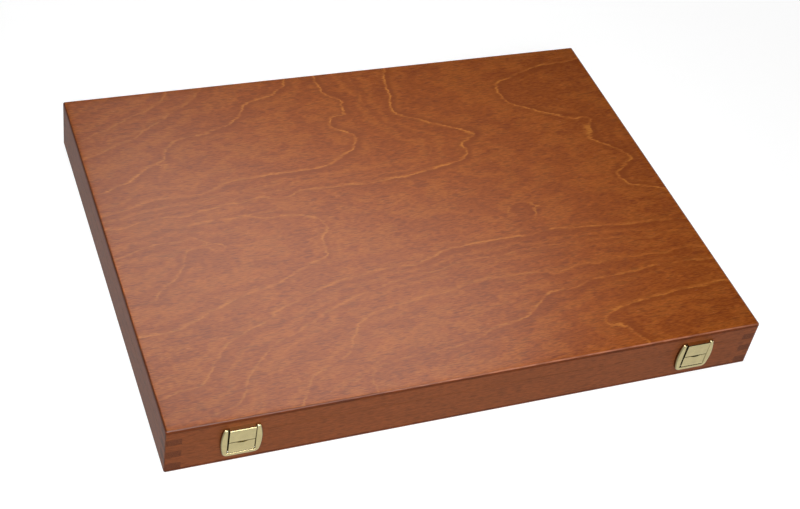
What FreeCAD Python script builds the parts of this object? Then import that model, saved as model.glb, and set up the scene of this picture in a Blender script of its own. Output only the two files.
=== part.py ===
import FreeCAD, Part
import math
import os

# Wooden pastel storage box: a finger-jointed case sawn apart into a base and a hinged lid.
# Millimetres. The origin is the middle of the underside, +X to the right along the front,
# +Y to the back and +Z up. The two catches are on the front face, the hinges on the back.

# Case
box_width = 480.0
box_depth = 367.0
board_thickness = 12.0
panel_thickness = 3.2
finger_height = 6.5
base_finger_count = 4
lid_finger_count = 2
seam_gap = 0.2
arris_radius = 1.5

# Hinges
hinge_length = 50.0
hinge_inset = 70.0
hinge_leaf_width = 12.4
hinge_leaf_thickness = 1.0
hinge_leaf_corner = 1.5
hinge_knuckle_count = 5
hinge_knuckle_radius = 2.2
hinge_knuckle_gap = 0.2
hinge_stand_off = 0.3
hinge_notch_gap = 0.4
hinge_pin_radius = 1.1
hinge_pin_head_radius = 1.7
hinge_pin_head_height = 0.7
hinge_screw_pitch = 17.0
hinge_screw_count = 3
hinge_screw_length = 9.0
hinge_screw_radius = 1.2
hinge_screw_head_radius = 2.1

# Catches: the frame on the base, which reaches below and above the seam
catch_inset = 55.0
catch_drop = 20.0
catch_rise = 9.3
catch_opening_width = 20.0
catch_rail_height = 3.3
catch_ear_width = 3.3
catch_cheek_bulge = 2.2
catch_foot_half_width = 13.0
catch_corner_radius = 4.5
catch_ear_corner = 1.3
catch_stand = 3.2
catch_outer_round = 1.3
catch_inner_round = 0.45
catch_back_thickness = 0.8
catch_back_lap = 0.5
catch_ear_relief = 0.3
catch_screw_spread = 6.2
catch_screw_rise = 4.5
catch_screw_length = 8.0
catch_screw_radius = 0.95
catch_screw_head_radius = 1.65

# Catches: the flap between the cheeks, its pin and its spring
flap_side_gap = 0.4
flap_thickness = 0.8
flap_face = 3.4
flap_drop = 4.4
flap_lip_height = 0.7
flap_lip_stand = 0.3
nail_notch_width = 9.0
nail_notch_depth = 1.1
flap_pin_out = 2.05
flap_pin_radius = 0.5
flap_pin_seat = 2.5
flap_knuckle_radius = 1.1
flap_shoulder_rise = 1.0
flap_belly_radius = 1.2
flap_belly_angle = 35.0
flap_rail_gap = 0.3
flap_tooth_width = 7.4
flap_tooth_drop = 4.5
flap_tooth_height = 2.1
flap_tooth_tip = 0.6
flap_tooth_reach = 1.4
spring_wire_radius = 0.2
spring_turns = 4
spring_pitch = 0.85
spring_leg_height = 4.2
spring_exit_angle = 30.0
spring_bend_radius = 0.6
spring_tip_depth = 0.8
spring_leg_gap = 0.2
spring_pin_gap = 0.05
spring_bed_gap = 0.1

# Catches: the hook plate on the lid
hook_face = 4.0
hook_face_bottom = 3.6
hook_ear_drop = 0.5
hook_flap_gap = 0.5
hook_thickness = 0.8
hook_bend_radius = 0.75
hook_flange_seam_gap = 0.5
hook_flange_thickness = 0.9
hook_tongue_width = 12.0
hook_tongue_thickness = 0.6
hook_tongue_gap = 0.2
hook_tongue_foot = 1.0
hook_window_gap = 0.3
hook_web_rise = 0.3
hook_web_height = 0.8
hook_screw_spread = 5.5
hook_screw_rise = 4.1
hook_screw_radius = 1.0
hook_screw_head_radius = 1.9
hook_screw_head_height = 1.3
hook_screw_sink = 0.2

# Inside: rows of pastel sticks on grooved foam, and the pad in the lid
row_count = 5
divider_thickness = 3.0
divider_drop = 1.2
divider_round = 1.0
stick_radius = 5.0
stick_slack = 0.2
stick_gap = 0.6
stick_head_room = 0.6
groove_depth = 1.6
foam_gap = 0.3
lid_pad_rise = 1.0
lid_pad_gap = 0.4
lid_pad_round = 2.0

# Fits
running_clearance = 0.05
screw_clearance = 0.03
recess_width = 0.5
recess_depth = 0.45
recess_reach = 0.65

# Levels and places that follow from the sizes above
seam_z = panel_thickness + base_finger_count * finger_height
lid_rim_z = seam_z + seam_gap
lid_board_top = seam_z + lid_finger_count * finger_height
box_height = lid_board_top + panel_thickness
front_y = -box_depth / 2
back_y = box_depth / 2
inside_width = box_width - 2 * board_thickness
inside_depth = box_depth - 2 * board_thickness
hinge_axis_y = back_y + hinge_stand_off + hinge_knuckle_radius
hinge_axis_z = seam_z + seam_gap / 2
hinge_x = box_width / 2 - hinge_inset - hinge_length / 2
catch_x = box_width / 2 - catch_inset
catch_bottom = seam_z - catch_drop
catch_top = seam_z + catch_rise
catch_rail_top = catch_bottom + catch_rail_height
catch_screw_z = catch_rail_top + catch_screw_rise
flap_width = catch_opening_width - 2 * flap_side_gap
flap_top = seam_z - flap_drop
flap_pin_z = catch_rail_top + flap_rail_gap + flap_knuckle_radius
flap_tooth_bottom = flap_top - flap_tooth_drop
hook_top = catch_top - hook_ear_drop
hook_tongue_end = flap_tooth_bottom - hook_window_gap - hook_tongue_foot
hook_screw_z = lid_rim_z + hook_screw_rise
tongue_out = catch_back_thickness + hook_tongue_gap
spring_coil_radius = flap_pin_radius + spring_pin_gap + spring_wire_radius
spring_bed_radius = spring_coil_radius + spring_wire_radius + spring_bed_gap
spring_half_length = spring_turns * spring_pitch / 2
spring_tip_out = tongue_out + hook_tongue_thickness + spring_leg_gap + spring_wire_radius
row_depth = (inside_depth - (row_count - 1) * divider_thickness) / row_count
divider_top = seam_z - divider_drop
lid_pad_bottom = lid_rim_z + lid_pad_rise
foam_bottom = panel_thickness + foam_gap
foam_top = lid_pad_bottom - stick_head_room - 2 * stick_radius
sides = {"left": -1, "right": 1}

X_AXIS = FreeCAD.Vector(1, 0, 0)
Y_AXIS = FreeCAD.Vector(0, 1, 0)
Z_AXIS = FreeCAD.Vector(0, 0, 1)

# How far a cutting shape runs past what it cuts, how far joined shapes run into each other,
# and how near its place an edge must lie to be picked
OVERCUT = 1.0
ROOT_LAP = 0.2
PICK_TOLERANCE = 0.01


def block(x_low, x_high, y_low, y_high, z_low, z_high):
    """A box between two corners."""
    corner = FreeCAD.Vector(x_low, y_low, z_low)
    return Part.makeBox(x_high - x_low, y_high - y_low, z_high - z_low, corner)


def front_point(x, out, z):
    """A point given by how far it stands out from the front face."""
    return FreeCAD.Vector(x, front_y - out, z)


def front_block(half_width, out_low, out_high, z_low, z_high):
    """A box on the middle of a catch, between two distances from the front face."""
    return block(-half_width, half_width, front_y - out_high, front_y - out_low, z_low, z_high)


def bar(edges, half_width):
    """A closed side profile at x = 0, widened both ways along X."""
    face = Part.Face(Part.Wire(edges))
    face.translate(X_AXIS * -half_width)
    return face.extrude(X_AXIS * (2 * half_width))


def lines(points):
    """Straight edges through the points, not closed."""
    return [Part.LineSegment(a, b).toShape() for a, b in zip(points, points[1:])]


def arc(start, middle, end):
    """An arc through three points."""
    return Part.Arc(start, middle, end).toShape()


def moved(shape, x):
    """A copy of the shape, shifted along X."""
    copy = shape.copy()
    copy.translate(X_AXIS * x)
    return copy


# Case

def make_envelope():
    """The whole closed case with its arrises rounded: every outer face is cut to it."""
    case = block(-box_width / 2, box_width / 2, front_y, back_y, 0, box_height)
    return case.makeFillet(arris_radius, case.Edges)


def finger_board(centre, half_length, half_thickness, along, levels, first_long):
    """A board built up finger by finger: long levels reach the corner, short ones stop at the next board."""
    board = None
    for level, (z_low, z_high) in levels:
        is_long = (level % 2 == 0) == first_long
        reach = half_length if is_long else half_length - board_thickness
        if along == "x":
            slab = block(-reach, reach, centre - half_thickness, centre + half_thickness, z_low, z_high)
        else:
            slab = block(centre - half_thickness, centre + half_thickness, -reach, reach, z_low, z_high)
        board = slab if board is None else board.fuse(slab)
    return board.removeSplitter()


def finger_levels(first, count):
    """The height range of each finger, numbered from the bottom of the case."""
    levels = []
    for level in range(first, first + count):
        z_low = panel_thickness + level * finger_height
        if level == base_finger_count:
            z_low = lid_rim_z
        z_high = panel_thickness + (level + 1) * finger_height
        levels.append((level, (z_low, z_high)))
    return levels


def make_frame_boards(levels, envelope):
    """Four boards of the base or of the lid, finger-jointed at the corners."""
    half = board_thickness / 2
    boards = {}
    for name, side in (("front", -1), ("back", 1)):
        raw = finger_board(side * (box_depth / 2 - half), box_width / 2, half, "x", levels, False)
        boards[name] = raw.common(envelope)
    for name, side in (("left", -1), ("right", 1)):
        raw = finger_board(side * (box_width / 2 - half), box_depth / 2, half, "y", levels, True)
        boards[name] = raw.common(envelope)
    return boards


def make_panel(z_low, envelope):
    """A plywood panel over the whole case."""
    raw = block(-box_width / 2, box_width / 2, front_y, back_y, z_low, z_low + panel_thickness)
    return raw.common(envelope)


# Screws

def countersunk_screw(radius, head_radius, length, extra=0.0):
    """A wood screw along +Y with its head's flat at the origin: 45 degree head, shank and point."""
    r = radius + extra
    head = head_radius + extra
    point_start = length - 2 * radius
    outline = lines([
        FreeCAD.Vector(0, 0, 0),
        FreeCAD.Vector(head, 0, 0),
        FreeCAD.Vector(r, head - r, 0),
        FreeCAD.Vector(r, point_start, 0),
        FreeCAD.Vector(0, length + extra, 0),
        FreeCAD.Vector(0, 0, 0),
    ])
    return Part.Face(Part.Wire(outline)).revolve(FreeCAD.Vector(0, 0, 0), Y_AXIS, 360)


def cross_recess(head_radius):
    """The cross that is sunk into a screw head whose flat is at the origin."""
    arm = head_radius * recess_reach
    half = recess_width / 2
    flat = block(-arm, arm, -recess_depth, recess_depth, -half, half)
    upright = block(-half, half, -recess_depth, recess_depth, -arm, arm)
    return flat.fuse(upright)


def turned(shape, place, inwards):
    """A shape made along +Y, put at a place and pointing along +Y or, if not inwards, along -Y."""
    copy = shape.copy()
    if not inwards:
        copy.rotate(FreeCAD.Vector(0, 0, 0), Z_AXIS, 180)
    copy.translate(place)
    return copy


def hinge_screw_places(z_side):
    """Screw places of both hinges' leaves, below the axis for the base and above it for the lid."""
    plate_middle = (hinge_knuckle_radius + hinge_notch_gap + hinge_leaf_width) / 2
    z = hinge_axis_z + z_side * plate_middle
    first = -hinge_screw_pitch * (hinge_screw_count - 1) / 2
    places = []
    for side in sides.values():
        for number in range(hinge_screw_count):
            x = side * hinge_x + first + number * hinge_screw_pitch
            places.append(FreeCAD.Vector(x, back_y + hinge_leaf_thickness, z))
    return places


def catch_screw_places():
    """Screw places in the back plates of both catch frames."""
    places = []
    for side in sides.values():
        for spread in (-catch_screw_spread, catch_screw_spread):
            place = front_point(side * catch_x + spread, catch_back_thickness, catch_screw_z)
            places.append(place)
    return places


def hook_screw_places():
    """Places of the hook screws' heads, sunk into the lid's front board from inside."""
    places = []
    for side in sides.values():
        for spread in (-hook_screw_spread, hook_screw_spread):
            place = front_point(side * catch_x + spread, -board_thickness, hook_screw_z)
            places.append(place)
    return places


def hook_screw(head_start, extra):
    """A machine screw along -Y from the board's inner face at the origin, or with extra its stepped hole."""
    head_end = hook_screw_sink + hook_screw_head_height
    head = Part.makeCylinder(hook_screw_head_radius + extra, head_end - head_start,
                             FreeCAD.Vector(0, -head_start, 0), -Y_AXIS)
    reach = board_thickness + hook_flange_thickness
    shank = Part.makeCylinder(hook_screw_radius + extra, reach - head_end,
                              FreeCAD.Vector(0, -head_end, 0), -Y_AXIS)
    return head.fuse(shank)


def make_hook_screws():
    """The four screws that hold the hook plates, with a cross in each head."""
    recess = cross_recess(hook_screw_head_radius)
    recess.translate(Y_AXIS * -hook_screw_sink)
    screw = hook_screw(hook_screw_sink, 0).cut(recess)
    return Part.makeCompound([turned(screw, place, True) for place in hook_screw_places()])


def make_wood_screws(places, radius, head_radius, length, inwards):
    """A group of like countersunk screws."""
    screw = countersunk_screw(radius, head_radius, length).cut(cross_recess(head_radius))
    return Part.makeCompound([turned(screw, place, inwards) for place in places])


def drill(shape, places, tool, inwards):
    """Cut the tool out of the shape at each place."""
    for place in places:
        shape = shape.cut(turned(tool, place, inwards))
    return shape


# Hinges

def make_hinge_leaf(z_side, own_knuckles, screw_places):
    """One leaf at x = 0: a plate on the back face, notched for the other leaf's knuckles."""
    z_near = hinge_axis_z + z_side * hinge_notch_gap
    z_far = hinge_axis_z + z_side * hinge_leaf_width
    plate = block(-hinge_length / 2, hinge_length / 2, back_y, back_y + hinge_leaf_thickness,
                  min(z_near, z_far), max(z_near, z_far))
    corners = []
    for edge in plate.Edges:
        middle = edge.CenterOfMass
        at_end = abs(abs(middle.x) - hinge_length / 2) < PICK_TOLERANCE
        if at_end and abs(middle.z - z_far) < PICK_TOLERANCE:
            corners.append(edge)
    leaf = plate.makeFillet(hinge_leaf_corner, corners)
    pitch = hinge_length / hinge_knuckle_count
    clear = hinge_knuckle_radius + hinge_notch_gap
    for number in range(hinge_knuckle_count):
        start = -hinge_length / 2 + number * pitch
        if number % 2 == own_knuckles:
            low = start + (hinge_knuckle_gap / 2 if number > 0 else 0)
            high = start + pitch - (hinge_knuckle_gap / 2 if number < hinge_knuckle_count - 1 else 0)
            knuckle = Part.makeCylinder(hinge_knuckle_radius, high - low,
                                        FreeCAD.Vector(low, hinge_axis_y, hinge_axis_z), X_AXIS)
            leaf = leaf.fuse(knuckle)
    for number in range(hinge_knuckle_count):
        start = -hinge_length / 2 + number * pitch
        if number % 2 != own_knuckles:
            leaf = leaf.cut(block(start - hinge_knuckle_gap / 2, start + pitch + hinge_knuckle_gap / 2,
                                  back_y - OVERCUT, hinge_axis_y + clear,
                                  hinge_axis_z - clear, hinge_axis_z + clear))
    reach = hinge_length / 2 + OVERCUT
    bore = Part.makeCylinder(hinge_pin_radius + running_clearance, 2 * reach,
                             FreeCAD.Vector(-reach, hinge_axis_y, hinge_axis_z), X_AXIS)
    leaf = leaf.cut(bore).removeSplitter()
    seat = countersunk_screw(hinge_screw_radius, hinge_screw_head_radius, hinge_screw_length,
                             screw_clearance)
    return drill(leaf, screw_places, seat, False)


def make_hinge_pin():
    """The pin at x = 0, with a domed head peened over at each end."""
    half = hinge_length / 2 + hinge_knuckle_gap
    pin = Part.makeCylinder(hinge_pin_radius, 2 * half,
                            FreeCAD.Vector(-half, hinge_axis_y, hinge_axis_z), X_AXIS)
    dome_radius = (hinge_pin_head_radius ** 2 + hinge_pin_head_height ** 2) / (2 * hinge_pin_head_height)
    for side in (-1, 1):
        centre = FreeCAD.Vector(side * (half + hinge_pin_head_height - dome_radius),
                                hinge_axis_y, hinge_axis_z)
        ball = Part.makeSphere(dome_radius, centre)
        start = FreeCAD.Vector(side * half, hinge_axis_y, hinge_axis_z)
        keep = Part.makeCylinder(hinge_pin_head_radius + OVERCUT, hinge_pin_head_height + OVERCUT,
                                 start, X_AXIS * side)
        pin = pin.fuse(ball.common(keep))
    return pin


# Catches, modelled at x = 0

def make_catch_frame(screw_places):
    """A cast frame, open at the top: bulging cheeks, a bottom rail and a thin back plate."""
    half = catch_opening_width / 2
    ear = half + catch_ear_width
    foot = catch_foot_half_width
    bulge = front_point(ear + catch_cheek_bulge, 0, (catch_bottom + catch_top) / 2)
    left_bulge = front_point(-bulge.x, 0, bulge.z)
    outline = lines([front_point(-foot, 0, catch_bottom), front_point(foot, 0, catch_bottom)])
    outline.append(arc(front_point(foot, 0, catch_bottom), bulge, front_point(ear, 0, catch_top)))
    outline += lines([
        front_point(ear, 0, catch_top),
        front_point(half, 0, catch_top),
        front_point(half, 0, catch_rail_top),
        front_point(-half, 0, catch_rail_top),
        front_point(-half, 0, catch_top),
        front_point(-ear, 0, catch_top),
    ])
    outline.append(arc(front_point(-ear, 0, catch_top), left_bulge, front_point(-foot, 0, catch_bottom)))
    frame = Part.Face(Part.Wire(outline)).extrude(Y_AXIS * -catch_stand)
    frame = frame.makeFillet(catch_corner_radius, corner_edges(frame, catch_bottom))
    frame = frame.makeFillet(catch_ear_corner, corner_edges(frame, catch_top))
    outer = [edge for edge in rim_edges(frame) if not is_in_opening(edge)]
    frame = frame.makeFillet(catch_outer_round, outer)
    inner = [edge for edge in rim_edges(frame) if is_in_opening(edge)]
    frame = frame.makeFillet(catch_inner_round, inner)
    relief = front_block(bulge.x + OVERCUT, -OVERCUT, catch_ear_relief,
                         seam_z - seam_gap, catch_top + OVERCUT)
    frame = frame.cut(relief)
    back = front_block(half + catch_back_lap, 0, catch_back_thickness,
                       catch_rail_top - catch_back_lap, seam_z - seam_gap)
    frame = frame.fuse(back).removeSplitter()
    reach = half + flap_pin_seat + screw_clearance
    bore = Part.makeCylinder(flap_pin_radius + screw_clearance, 2 * reach,
                             front_point(-reach, flap_pin_out, flap_pin_z), X_AXIS)
    frame = frame.cut(bore)
    seat = countersunk_screw(catch_screw_radius, catch_screw_head_radius, catch_screw_length, screw_clearance)
    return drill(frame, screw_places, seat, True)


def corner_edges(frame, z):
    """The frame's edges that run square to the front face at one height."""
    return [edge for edge in frame.Edges
            if edge.BoundBox.YLength > catch_stand - PICK_TOLERANCE
            and abs(edge.CenterOfMass.z - z) < PICK_TOLERANCE]


def rim_edges(frame):
    """The edges around the frame's front."""
    return [edge for edge in frame.Edges if edge.BoundBox.YMax < front_y - catch_stand + PICK_TOLERANCE]


def is_in_opening(edge):
    """Whether a front edge bounds the opening, not the outline."""
    box = edge.BoundBox
    reach = catch_opening_width / 2 + PICK_TOLERANCE
    return box.ZMin > catch_rail_top - PICK_TOLERANCE and box.XMin > -reach and box.XMax < reach


def make_catch_pin():
    """The flap's pin, held between the cheeks in two blind holes."""
    reach = catch_opening_width / 2 + flap_pin_seat
    return Part.makeCylinder(flap_pin_radius, 2 * reach,
                             front_point(-reach, flap_pin_out, flap_pin_z), X_AXIS)


def make_flap():
    """The flap that is pulled down with a nail: face plate, raised lip, knuckles, and a tooth behind."""
    half = flap_width / 2
    back = flap_face - flap_thickness
    low = flap_pin_z - flap_knuckle_radius
    shoulder = flap_pin_z + flap_shoulder_rise
    belly_angle = math.radians(flap_belly_angle)
    belly = front_point(0, flap_pin_out + flap_belly_radius * math.cos(belly_angle),
                        flap_pin_z - flap_belly_radius * math.sin(belly_angle))
    top_edge = lines([
        front_point(0, back, shoulder),
        front_point(0, back, flap_top),
        front_point(0, flap_face, flap_top),
        front_point(0, flap_face, shoulder),
    ])
    round_foot = [
        arc(front_point(0, flap_face, shoulder), belly, front_point(0, flap_pin_out, low)),
        arc(front_point(0, flap_pin_out, low), front_point(0, flap_pin_out - flap_knuckle_radius, flap_pin_z),
            front_point(0, flap_pin_out, flap_pin_z + flap_knuckle_radius)),
    ]
    closing = lines([
        front_point(0, flap_pin_out, flap_pin_z + flap_knuckle_radius),
        front_point(0, back, shoulder),
    ])
    plate = bar(top_edge + round_foot + closing, half)
    notch_radius = (nail_notch_width ** 2 / 4 + nail_notch_depth ** 2) / (2 * nail_notch_depth)
    notch_centre = front_point(0, flap_face + OVERCUT, flap_top - nail_notch_depth + notch_radius)
    notch_length = flap_thickness + 2 * OVERCUT
    notch = Part.makeCylinder(notch_radius, notch_length, notch_centre, Y_AXIS)
    rim = Part.makeCylinder(notch_radius + flap_lip_height, notch_length, notch_centre, Y_AXIS)
    lip_face = flap_face + flap_lip_stand
    lip = front_block(half, back, lip_face, flap_top - flap_lip_height, flap_top)
    dip_bottom = flap_top - flap_lip_height - nail_notch_depth - OVERCUT
    dip = rim.common(front_block(half, back, lip_face, dip_bottom, flap_top))
    plate = plate.fuse(lip).fuse(dip).cut(notch)
    tooth_tip = back - flap_tooth_reach
    tooth_root = back + ROOT_LAP
    tooth_profile = lines([
        front_point(0, tooth_root, flap_tooth_bottom),
        front_point(0, tooth_tip, flap_tooth_bottom),
        front_point(0, tooth_tip, flap_tooth_bottom + flap_tooth_tip),
        front_point(0, tooth_root, flap_tooth_bottom + flap_tooth_height),
        front_point(0, tooth_root, flap_tooth_bottom),
    ])
    plate = plate.fuse(bar(tooth_profile, flap_tooth_width / 2)).removeSplitter()
    reach = half + OVERCUT
    bore = Part.makeCylinder(flap_pin_radius + running_clearance, 2 * reach,
                             front_point(-reach, flap_pin_out, flap_pin_z), X_AXIS)
    bed_half = spring_half_length + 2 * spring_wire_radius + spring_bed_gap
    bed = Part.makeCylinder(spring_bed_radius, 2 * bed_half,
                            front_point(-bed_half, flap_pin_out, flap_pin_z), X_AXIS)
    above = flap_pin_z + flap_knuckle_radius + OVERCUT
    open_back = front_block(bed_half, -OVERCUT, flap_pin_out, low - OVERCUT, above)
    open_top = front_block(bed_half, -OVERCUT, back, flap_pin_z, above)
    plate = plate.cut(bore).cut(bed).cut(open_back).cut(open_top)
    leg_hole = Part.makeCylinder(spring_wire_radius + running_clearance,
                                 OVERCUT + spring_tip_depth + running_clearance,
                                 spring_tip(-OVERCUT), Z_AXIS)
    return plate.cut(leg_hole)


def spring_tip(rise):
    """The place, above the tooth's underside, where the spring's long leg stands in its hole."""
    return front_point(spring_half_length, spring_tip_out, flap_tooth_bottom + rise)


def rounded_corner(before, corner, after, radius):
    """An arc that rounds the corner of a path, with the two places where it starts and ends."""
    inward = (before - corner).normalize()
    outward = (after - corner).normalize()
    half_turn = (math.pi - inward.getAngle(outward)) / 2
    start = corner + inward * (radius * math.tan(half_turn))
    end = corner + outward * (radius * math.tan(half_turn))
    middle = corner + (inward + outward).normalize() * (radius / math.cos(half_turn) - radius)
    return arc(start, middle, end), start, end


def make_spring():
    """A torsion spring on the flap's pin: a short leg on the back plate, turns, a leg in the tooth."""
    exit_angle = math.radians(spring_exit_angle)
    turning = 2 * math.pi * spring_turns - math.pi + exit_angle
    steps = 8 * spring_turns
    points = []
    for step in range(steps + 1):
        angle = math.pi + turning * step / steps
        x = spring_half_length * (2 * step / steps - 1)
        points.append(front_point(x, flap_pin_out + spring_coil_radius * math.cos(angle),
                                  flap_pin_z + spring_coil_radius * math.sin(angle)))
    turns = [arc(points[i], points[i + 1], points[i + 2]) for i in range(0, steps, 2)]
    foot = points[0] + Z_AXIS * spring_leg_height
    leave = points[-1]
    run = (leave.y - (front_y - spring_tip_out)) / -math.sin(exit_angle)
    corner = front_point(spring_half_length, spring_tip_out, leave.z + run * math.cos(exit_angle))
    top = spring_tip(spring_tip_depth)
    bend, bend_start, bend_end = rounded_corner(leave, corner, top, spring_bend_radius)
    path = lines([foot, points[0]]) + turns + lines([leave, bend_start]) + [bend] + lines([bend_end, top])
    circle = Part.Wire(Part.makeCircle(spring_wire_radius, foot, Z_AXIS))
    spring = Part.Wire(path).makePipeShell([circle], True, False)
    if spring.Volume < 0:
        spring.reverse()
    return spring


def make_hook():
    """The hook plate on the lid: flange, shelf, face plate, and the tongue that drops behind the flap."""
    half = flap_width / 2
    inner = hook_face - hook_thickness
    inner_bottom = hook_face_bottom - hook_thickness
    face_bottom = flap_top + hook_flap_gap
    bend = hook_bend_radius
    lean = (hook_face - hook_face_bottom) * bend / (hook_top - face_bottom)
    bend_cut = bend * (1 - math.sqrt(0.5))
    underside = hook_top - hook_thickness
    outline = lines([
        front_point(0, inner_bottom, face_bottom),
        front_point(0, hook_face_bottom, face_bottom),
        front_point(0, hook_face - lean, hook_top - bend),
    ])
    outline.append(arc(front_point(0, hook_face - lean, hook_top - bend),
                       front_point(0, hook_face - bend_cut, hook_top - bend_cut),
                       front_point(0, hook_face - bend, hook_top)))
    outline += lines([
        front_point(0, hook_face - bend, hook_top),
        front_point(0, 0, hook_top),
        front_point(0, 0, lid_rim_z + hook_flange_seam_gap),
        front_point(0, hook_flange_thickness, lid_rim_z + hook_flange_seam_gap),
        front_point(0, hook_flange_thickness, underside),
        front_point(0, inner, underside),
        front_point(0, inner_bottom, face_bottom),
    ])
    hook = bar(outline, half)
    tongue_front = tongue_out + hook_tongue_thickness
    web_bottom = face_bottom + hook_web_rise
    web_top = web_bottom + hook_web_height
    tongue_half = hook_tongue_width / 2
    tongue = front_block(tongue_half, tongue_out, tongue_front, hook_tongue_end, web_top)
    web = front_block(tongue_half, tongue_out, inner_bottom + ROOT_LAP, web_bottom, web_top)
    window = front_block(flap_tooth_width / 2 + hook_window_gap, 0, tongue_front + OVERCUT,
                         flap_tooth_bottom - hook_window_gap,
                         flap_tooth_bottom + flap_tooth_height + hook_window_gap)
    hook = hook.fuse(tongue.cut(window)).fuse(web).removeSplitter()
    for spread in (-hook_screw_spread, hook_screw_spread):
        hole = Part.makeCylinder(hook_screw_radius + screw_clearance, hook_flange_thickness + 2 * ROOT_LAP,
                                 front_point(spread, -ROOT_LAP, hook_screw_z), -Y_AXIS)
        hook = hook.cut(hole)
    return hook


# Inside

def row_start(number):
    """Where a row of sticks starts, counted from the front."""
    return -inside_depth / 2 + number * (row_depth + divider_thickness)


def make_divider(number):
    """A slat between two rows, rounded along its top."""
    y = row_start(number) + row_depth
    slat = block(-inside_width / 2, inside_width / 2, y, y + divider_thickness,
                 panel_thickness, divider_top)
    edges = [edge for edge in slat.Edges
             if edge.BoundBox.ZMin > divider_top - PICK_TOLERANCE
             and edge.BoundBox.XLength > inside_width - PICK_TOLERANCE]
    return slat.makeFillet(divider_round, edges)


def make_foam_insert(number):
    """A foam block in one row, with a shallow round groove across it for each stick."""
    half = inside_width / 2 - foam_gap
    groove_radius = stick_radius + stick_slack
    drop = groove_radius - groove_depth
    half_groove = math.sqrt(groove_radius ** 2 - drop ** 2)
    pitch = 2 * stick_radius + stick_gap
    count = int(2 * half / pitch)
    start = -(count - 1) * pitch / 2
    y = row_start(number) + foam_gap
    edges = lines([
        FreeCAD.Vector(half, y, foam_top),
        FreeCAD.Vector(half, y, foam_bottom),
        FreeCAD.Vector(-half, y, foam_bottom),
        FreeCAD.Vector(-half, y, foam_top),
    ])
    here = FreeCAD.Vector(-half, y, foam_top)
    for groove in range(count):
        x = start + groove * pitch
        near = FreeCAD.Vector(x - half_groove, y, foam_top)
        far = FreeCAD.Vector(x + half_groove, y, foam_top)
        edges += lines([here, near])
        edges.append(arc(near, FreeCAD.Vector(x, y, foam_top - groove_depth), far))
        here = far
    edges += lines([here, FreeCAD.Vector(half, y, foam_top)])
    return Part.Face(Part.Wire(edges)).extrude(Y_AXIS * (row_depth - 2 * foam_gap))


def make_lid_pad():
    """The foam pad that fills the lid and keeps the sticks down."""
    half_x = inside_width / 2 - lid_pad_gap
    half_y = inside_depth / 2 - lid_pad_gap
    top = lid_board_top - lid_pad_gap
    pad = block(-half_x, half_x, -half_y, half_y, lid_pad_bottom, top)
    edges = [edge for edge in pad.Edges if edge.BoundBox.ZMin < top - PICK_TOLERANCE]
    return pad.makeFillet(lid_pad_round, edges)


def make_parts():
    """Every piece of the box, by name."""
    envelope = make_envelope()
    parts = {}
    base_boards = make_frame_boards(finger_levels(0, base_finger_count), envelope)
    lid_boards = make_frame_boards(finger_levels(base_finger_count, lid_finger_count), envelope)
    hinge_hole = countersunk_screw(hinge_screw_radius, hinge_screw_head_radius, hinge_screw_length,
                                   screw_clearance)
    catch_hole = countersunk_screw(catch_screw_radius, catch_screw_head_radius, catch_screw_length,
                                   screw_clearance)
    base_boards["back"] = drill(base_boards["back"], hinge_screw_places(-1), hinge_hole, False)
    lid_boards["back"] = drill(lid_boards["back"], hinge_screw_places(1), hinge_hole, False)
    base_boards["front"] = drill(base_boards["front"], catch_screw_places(), catch_hole, True)
    hook_hole = hook_screw(0, screw_clearance)
    lid_boards["front"] = drill(lid_boards["front"], hook_screw_places(), hook_hole, True)
    for side, board in base_boards.items():
        parts["base_" + side + "_board"] = board
    for side, board in lid_boards.items():
        parts["lid_" + side + "_board"] = board
    parts["base_bottom_panel"] = make_panel(0, envelope)
    parts["lid_top_panel"] = make_panel(lid_board_top, envelope)

    for name, side in sides.items():
        shift = side * hinge_x
        own = slice(0, hinge_screw_count) if side < 0 else slice(hinge_screw_count, None)
        for leaf, z_side, knuckles in (("base", -1, 0), ("lid", 1, 1)):
            places = [place - X_AXIS * shift for place in hinge_screw_places(z_side)[own]]
            parts["hinge_" + name + "_" + leaf + "_leaf"] = moved(
                make_hinge_leaf(z_side, knuckles, places), shift)
        parts["hinge_" + name + "_pin"] = moved(make_hinge_pin(), shift)
    for leaf, z_side in (("base", -1), ("lid", 1)):
        parts["hinge_" + leaf + "_screws"] = make_wood_screws(
            hinge_screw_places(z_side), hinge_screw_radius, hinge_screw_head_radius,
            hinge_screw_length, False)

    local_screws = [place + X_AXIS * catch_x for place in catch_screw_places()[:2]]
    pieces = {
        "frame": make_catch_frame(local_screws),
        "flap": make_flap(),
        "pin": make_catch_pin(),
        "spring": make_spring(),
        "hook": make_hook(),
    }
    for name, side in sides.items():
        for piece, shape in pieces.items():
            parts["catch_" + name + "_" + piece] = moved(shape, side * catch_x)
    parts["catch_frame_screws"] = make_wood_screws(
        catch_screw_places(), catch_screw_radius, catch_screw_head_radius, catch_screw_length, True)
    parts["catch_hook_screws"] = make_hook_screws()

    for number in range(row_count):
        parts["foam_insert_" + str(number + 1)] = make_foam_insert(number)
    for number in range(row_count - 1):
        parts["divider_" + str(number + 1)] = make_divider(number)
    parts["lid_pad"] = make_lid_pad()
    return parts


os.makedirs("parts", exist_ok=True)
for node, shape in make_parts().items():
    print(node, len(shape.Solids), "solids, valid", shape.isValid(), "volume", round(shape.Volume, 2))
    shape.exportStep("parts/" + node + ".step")
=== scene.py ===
import math

import bpy
import numpy as np
from bpy.props import FloatProperty, FloatVectorProperty, IntProperty, PointerProperty
from mathutils import Matrix, Vector


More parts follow.
